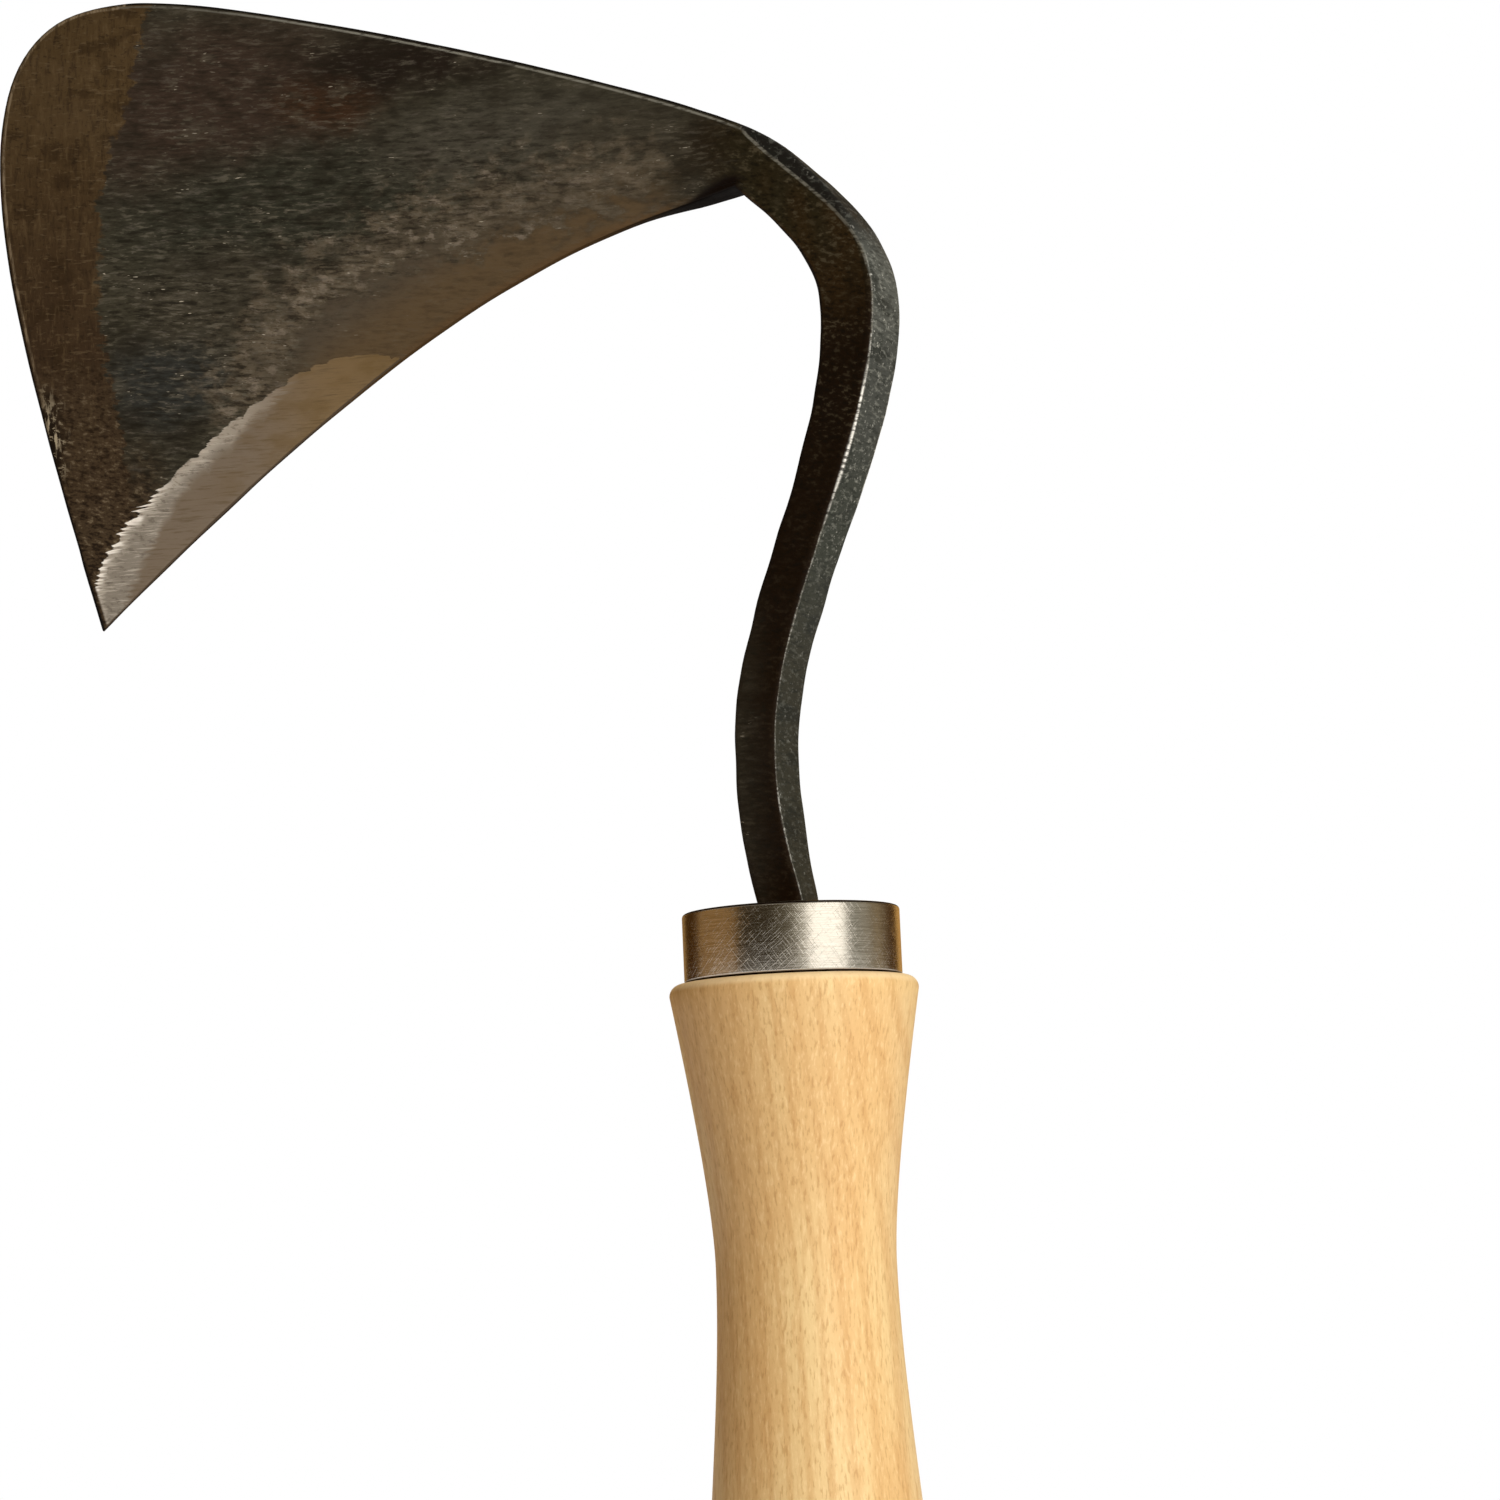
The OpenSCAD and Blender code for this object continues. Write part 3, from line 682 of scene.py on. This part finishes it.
# Turned pale hardwood, sanded and thinly oiled: warm cream, with faint growth rings, short upright pores
# and darker end grain.
def turned_hardwood():
    material, tree, place = new_material("turned_pale_hardwood")
    x, y, z = [add(tree, "SeparateXYZ", {0: place}, out=i) for i in range(3)]
    across = add(tree, "CombineXYZ", {0: x, 1: y})
    radius = add(tree, "VectorMath", {0: across}, out="Value", operation="LENGTH")
    drift = spots(tree, place, (14, 14, 60), 2.5, detail=2)
    bent = add(tree, "Mapping", {"Vector": place, "Location": (31, 12, 0), "Rotation": (0.02, 0.05, 0.0)})
    rings = add(tree, "TexWave", {"Vector": bent, "Scale": 0.13, "Distortion": 2.5, "Detail": 3.0,
                                  "Detail Scale": 0.06},
                out="Fac", wave_type="RINGS", rings_direction="Z", wave_profile="SIN")
    pores = spots(tree, place, (0.34, 0.34, 1.5), 7.3, detail=3, harshness=0.55)
    flame = spots(tree, place, (1.1, 1.1, 9), 4.8, detail=4, harshness=0.6)
    colour = paint(tree, "#dcb57b", "#e5c891", ramp(tree, drift, 0.35, 0.65))
    colour = paint(tree, colour, "#cb9e63", ramp(tree, rings, 0.55, 1.0, 0.0, 0.4))
    colour = paint(tree, colour, "#c99a5f", ramp(tree, flame, 0.5, 0.7, 0.0, 0.5))
    colour = paint(tree, colour, "#b5844a", ramp(tree, pores, 0.54, 0.68, 0.0, 0.5))
    colour = paint(tree, colour, "#f4d9a6", ramp(tree, pores, 0.45, 0.33, 0.0, 0.35))
    butt_end = ramp(tree, z, BUTT_Z + 1.2, BUTT_Z + 0.2)
    tenon_end = ramp(tree, z, SHOULDER_Z + 7.2, SHOULDER_Z + 7.8)
    end_grain = either(tree, butt_end, tenon_end)
    colour = paint(tree, colour, "#a87a48", both(tree, end_grain, 0.7))
    # A painted highlight along the collar's eased edge
    eased_edge_highlight = both(tree, ramp(tree, z, SHOULDER_Z - 1.3, SHOULDER_Z - 0.6), ramp(tree, radius, 14.6, 15.2))
    colour = paint(tree, colour, "#f6ddae", both(tree, eased_edge_highlight, 0.6))
    # Painted shade: a dark line where the shoulder meets the ferrule
    seam_shade = both(tree, ramp(tree, z, SHOULDER_Z - 0.12, SHOULDER_Z - 0.02), ramp(tree, radius, 14.35, 14.15),
                ramp(tree, z, SHOULDER_Z + 1, SHOULDER_Z + 0.5))
    colour = paint(tree, colour, "#3a2412", seam_shade)
    roughness = ramp(tree, flame, 0.3, 0.7, 0.4, 0.54)
    bump = add(tree, "Bump", {"Height": total(tree, pores, flame), "Strength": 0.4, "Distance": 0.08 * MM})
    finish_material(tree, add(tree, "BsdfPrincipled", {
        "Base Color": colour, "Roughness": roughness, "Normal": bump, "Coat Weight": 0.12,
        "Coat Roughness": 0.3}))
    return material


def shares(count):
    """Shares up to 1 in equal steps, without 0."""
    return [i / count for i in range(1, count + 1)]


def handle_profile():
    """Half outline of the turned handle, from the tenon's end down to the butt."""
    tenon_r = FERRULE_R - FERRULE_WALL - TENON_CLEAR
    flare = [Vector((COLLAR_R, SHOULDER_Z - COLLAR_EASE)), Vector((WAIST_R, WAIST_Z + FLARE_FOOT)),
             Vector((WAIST_R, WAIST_Z))]
    round_z = BUTT_Z + BUTT_ROUND
    profile = [(0, TENON_TOP), (tenon_r - TENON_BREAK, TENON_TOP), (tenon_r, TENON_TOP - TENON_BREAK),
               (tenon_r, SHOULDER_Z)]
    profile += arc(COLLAR_R - COLLAR_EASE, SHOULDER_Z - COLLAR_EASE, COLLAR_EASE, 90, 0, 8)
    profile += [tuple(flare[0] * (1 - t) ** 2 + flare[1] * 2 * t * (1 - t) + flare[2] * t * t)
                for t in shares(28)]
    profile += [(WAIST_R + (SWELL_R - WAIST_R) * ease(t), WAIST_Z + (SWELL_Z - WAIST_Z) * t)
                for t in shares(32)]
    profile += [(SWELL_R + (BUTT_R - SWELL_R) * t * t, SWELL_Z + (round_z - SWELL_Z) * t)
                for t in shares(20)]
    profile += [(BUTT_R + (BUTT_FLAT_R - BUTT_R) * (1 - math.cos(a)),
                 round_z + (BUTT_Z - round_z) * math.sin(a)) for a in [math.pi / 2 * t for t in shares(12)]]
    profile += [(0, BUTT_Z)]
    return profile


def tang_hole():
    """Square hole for the tang, tapered, as a cutter that passes the handle's ends."""
    hole_top = TANG_TOP + 2 * TANG_CLEAR
    length = TENON_TOP - BUTT_Z + 2 * CUT_OVER
    bm = bmesh.new()
    bmesh.ops.create_cone(bm, cap_ends=True, segments=4, radius1=HOLE_END / math.sqrt(2) * MM,
                          radius2=hole_top / math.sqrt(2) * MM, depth=length * MM)
    bmesh.ops.rotate(bm, verts=bm.verts, cent=(0, 0, 0), matrix=Matrix.Rotation(math.pi / 4, 3, "Z"))
    bmesh.ops.translate(bm, verts=bm.verts, vec=(0, 0, (BUTT_Z - CUT_OVER + length / 2) * MM))
    return smooth_mesh(bm, "tang_hole")


def clench_groove():
    """Groove for the tang's clenched end, as a cutter that passes the butt."""
    size = (CLENCH_LEN + HOLE_END / 2 + TANG_CLEAR, HOLE_END,
            CUT_OVER + CLENCH_SINK + TANG_END + TANG_CLEAR)
    bm = bmesh.new()
    bmesh.ops.create_cube(bm, size=MM)
    bmesh.ops.scale(bm, vec=size, verts=bm.verts)
    bmesh.ops.translate(bm, verts=bm.verts, vec=((size[0] - HOLE_END) / 2 * MM, 0,
                                                 (BUTT_Z - CUT_OVER + size[2] / 2) * MM))
    return smooth_mesh(bm, "clench_groove")


def handle_mesh():
    """Turned handle with the tang's hole and the clench groove cut through it."""
    turned = bpy.data.objects.new("turned_blank", smooth_mesh(spun(handle_profile(), 144), "turned_blank"))
    scene.collection.objects.link(turned)
    cutters = []
    for cut in (tang_hole(), clench_groove()):
        cutter = bpy.data.objects.new(cut.name, cut)
        scene.collection.objects.link(cutter)
        boolean = turned.modifiers.new(cut.name, "BOOLEAN")
        boolean.operation = "DIFFERENCE"
        boolean.solver = "EXACT"
        boolean.object = cutter
        cutters.append(cutter)
    mesh = applied(turned, "cut_handle")
    for cutter in cutters:
        bpy.data.objects.remove(cutter)
    # The borders of the cuts are sharp too, and have no slivers
    sliver = MM / 200
    bm = bmesh.new()
    bm.from_mesh(mesh)
    bpy.data.meshes.remove(mesh)
    bmesh.ops.remove_doubles(bm, verts=bm.verts, dist=sliver)
    bmesh.ops.dissolve_degenerate(bm, edges=bm.edges, dist=sliver)
    return smooth_mesh(bm, "turned_handle")


new_piece("head_forging", forged_mesh(), forge_scale(), "forged_steel", "forged_head")
new_piece("ferrule_band", ferrule_mesh(), brushed_stainless(), "ferrule_steel", "ferrule")
new_piece("turned_handle", handle_mesh(), turned_hardwood(), "turned_wood", "handle")


# Studio, in metres

FLOOR_RADIUS = 1.25
CARD_DISTANCE = 1.5
CARD_HEIGHT = 1.7
CARD_MIDDLE = Vector((0, 0, 0.2))
CEILING = 1.1
LAMP_AIM = Vector((0, 0, 0.1))
# Cards round the tool, as azimuth, angle and colour. The lamp is behind the brightest, its window.
WINDOW, WINDOW_STRENGTH = 59, 1.9
CARDS = ((-66, 56, "#98764a"), (-17, 42, "#3d3424"), (11, 14, "#524a38"), (23, 10, "#777060"),
         (33, 8, "#a8a28e"), (59, 42, "#fffdf8"), (89, 18, "#9b9a90"), (105, 14, "#a29c8e"),
         (116, 8, "#867860"), (125, 10, "#9d8c70"), (136, 12, "#78664c"), (154, 24, "#543a1e"),
         (-112, 36, "#452a0a"), (-146, 32, "#a07c4a"), (186, 40, "#cf9f5a"))
# The photograph's camera: its place in millimetres, its direction and roll in degrees, and its lens
CAMERA_PLACE = Vector((168.7, -429.0, 31.9))
CAMERA_AZIMUTH, CAMERA_ELEVATION, CAMERA_ROLL = 22.0, -7.8, -2.5
CAMERA_LENS, CAMERA_SENSOR = 86.4, 36.0


def floor_paper():
    """Pale matt paper that holds the shadow. Away from the tool it is plain white to the camera."""
    material, tree, place = new_material("pale_floor_paper")
    distance = add(tree, "VectorMath", {0: place}, out="Value", operation="LENGTH")
    white = both(tree, seen_directly(tree), ramp(tree, distance, 120, 420, 0.35, 1.0))
    paper = add(tree, "BsdfDiffuse", {"Color": linear("#f1efec")})
    glow = add(tree, "Emission", {"Color": (1, 1, 1, 1), "Strength": 1.0})
    finish_material(tree, add(tree, "MixShader", {0: white, 1: paper, 2: glow}))
    return material


def floor():
    """Round sheet of paper that the tool stands on."""
    bm = bmesh.new()
    bmesh.ops.create_circle(bm, cap_ends=True, segments=96, radius=FLOOR_RADIUS)
    bmesh.ops.translate(bm, verts=bm.verts, vec=(0, 0, BUTT_Z * MM))
    mesh = smooth_mesh(bm, "floor")
    mesh.materials.append(floor_paper())
    paper = bpy.data.objects.new("floor", mesh)
    scene.collection.objects.link(paper)


def bearing(azimuth, elevation=0.0):
    """Direction from the tool, with azimuth 0 toward -Y and 90 toward +X, in degrees."""
    a, e = math.radians(azimuth), math.radians(elevation)
    return Vector((math.sin(a) * math.cos(e), -math.cos(a) * math.cos(e), math.sin(e)))


def board(name, width, height, way, centre, colour, strength=1.0):
    """An evenly lit board that faces the tool and that only its reflections show."""
    bm = bmesh.new()
    bmesh.ops.create_grid(bm, x_segments=1, y_segments=1, size=0.5)
    bmesh.ops.scale(bm, vec=(width, height, 1), verts=bm.verts)
    bmesh.ops.rotate(bm, verts=bm.verts, cent=(0, 0, 0), matrix=way.to_track_quat("Z", "Y").to_matrix())
    bmesh.ops.translate(bm, verts=bm.verts, vec=centre)
    mesh = smooth_mesh(bm, name)
    material, tree, _ = new_material(name + "_board")
    finish_material(tree, add(tree, "Emission", {"Color": linear(colour), "Strength": strength}))
    mesh.materials.append(material)
    card = bpy.data.objects.new(name, mesh)
    scene.collection.objects.link(card)
    card.visible_camera = card.visible_diffuse = card.visible_shadow = False


def lamp(name, azimuth, elevation, distance, width, height, watts, colour):
    """Soft rectangular lamp that looks at the tool from a direction."""
    data = bpy.data.lights.new(name, "AREA")
    data.shape, data.size, data.size_y = "RECTANGLE", width, height
    data.energy, data.color = watts, linear(colour)[:3]
    light = bpy.data.objects.new(name, data)
    way = bearing(azimuth, elevation)
    light.location = way * distance + LAMP_AIM
    light.rotation_euler = way.to_track_quat("Z", "Y").to_euler()
    # The cards give the tool its reflections
    light.visible_glossy = False
    scene.collection.objects.link(light)


def studio():
    """World, cards and lamps."""
    world = bpy.data.worlds.new("studio")
    scene.world = world
    world.use_nodes = True
    tree = world.node_tree
    tree.nodes.clear()
    fill = add(tree, "Background", {"Color": linear("#ffdfb4"), "Strength": 0.17})
    white = add(tree, "Background", {"Color": (1, 1, 1, 1), "Strength": 1.0})
    sky = add(tree, "MixShader", {0: seen_directly(tree), 1: fill, 2: white})
    add(tree, "OutputWorld", {"Surface": sky})
    for azimuth, spread, colour in CARDS:
        width = 2 * CARD_DISTANCE * math.tan(math.radians(spread / 2))
        way = bearing(azimuth)
        board(f"card_{azimuth}", width, CARD_HEIGHT, way, way * CARD_DISTANCE + CARD_MIDDLE, colour,
              WINDOW_STRENGTH if azimuth == WINDOW else 1.0)
    above = Vector((0, 0, 1))
    board("card_above", 2 * CARD_DISTANCE, 2 * CARD_DISTANCE, above, above * CEILING, "#7d766b")
    lamp("window_light", WINDOW, elevation=24, distance=1.2, width=0.8, height=0.9, watts=16.8,
         colour="#fffdfa")
    lamp("back_light", 212, elevation=30, distance=1.2, width=1.0, height=1.0, watts=7.2, colour="#ffe6c6")


def photo_camera():
    """The photograph's camera: where it stood, its direction, its roll and its lens."""
    data = bpy.data.cameras.new("photo_camera")
    data.sensor_width, data.lens = CAMERA_SENSOR, CAMERA_LENS
    camera = bpy.data.objects.new("photo_camera", data)
    back = bearing(CAMERA_AZIMUTH, CAMERA_ELEVATION)
    roll = math.radians(CAMERA_ROLL)
    right = (-back).cross(Vector((0, 0, 1))).normalized()
    up = back.cross(right)
    across = right * math.cos(roll) + up * math.sin(roll)
    upright = up * math.cos(roll) - right * math.sin(roll)
    turn = Matrix((across, upright, back)).transposed().to_4x4()
    camera.matrix_world = Matrix.Translation(CAMERA_PLACE * MM) @ turn
    scene.collection.objects.link(camera)
    scene.camera = camera


floor()
studio()
photo_camera()
